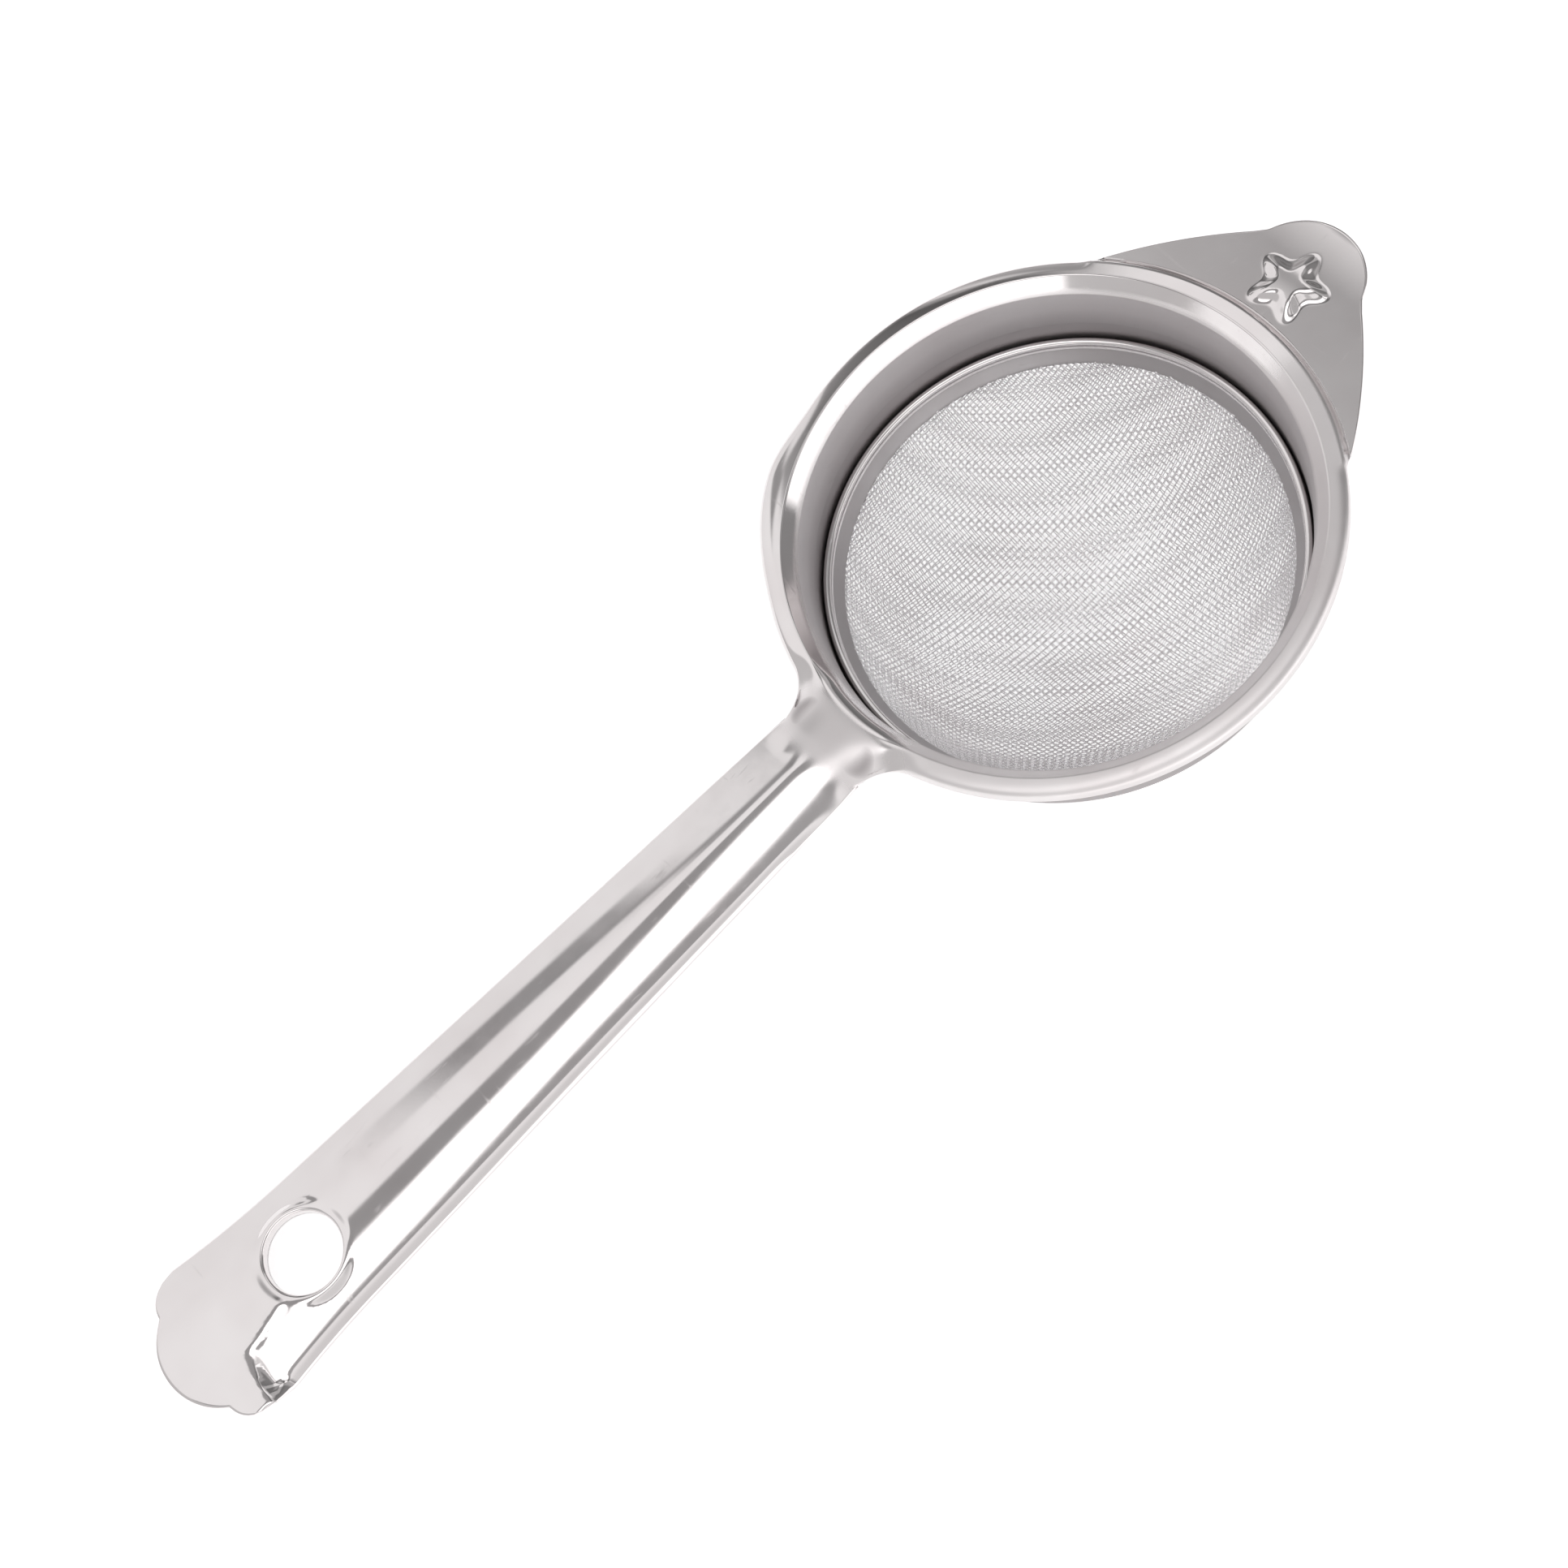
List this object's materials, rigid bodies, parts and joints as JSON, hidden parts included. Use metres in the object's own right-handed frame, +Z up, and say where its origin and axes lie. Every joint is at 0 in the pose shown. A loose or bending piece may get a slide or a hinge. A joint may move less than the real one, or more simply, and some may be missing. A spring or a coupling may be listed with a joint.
{
  "type": "tea strainer",
  "caption": "Round double-cloth wire tea strainer with a pressed steel rim, an arched handle with a hanging hole, and a star-stamped rest tab.",
  "frame": {"origin": "on the table, midway between the tip of the handle and the tip of the rest tab, on the plane of symmetry", "axes": "+Z up from the table, +X from the handle towards the rest tab, +Y across the handle; the rim leans 13.5 degrees towards the handle, as the strainer lies on a table"},
  "size_m": [0.1936, 0.072, 0.0461],
  "materials": {
    "polished_sheet": "bright polished stainless sheet with fine press and handling marks",
    "ring_steel": "polished bead with a matte grey band",
    "wire_cloth": "bright drawn stainless wire, plain weave"
  },
  "bodies": {
    "root": {"strainer_frame": "polished_sheet", "retaining_ring": "ring_steel", "inner_mesh": "wire_cloth", "outer_mesh": "wire_cloth"}
  },
  "joints": []
}
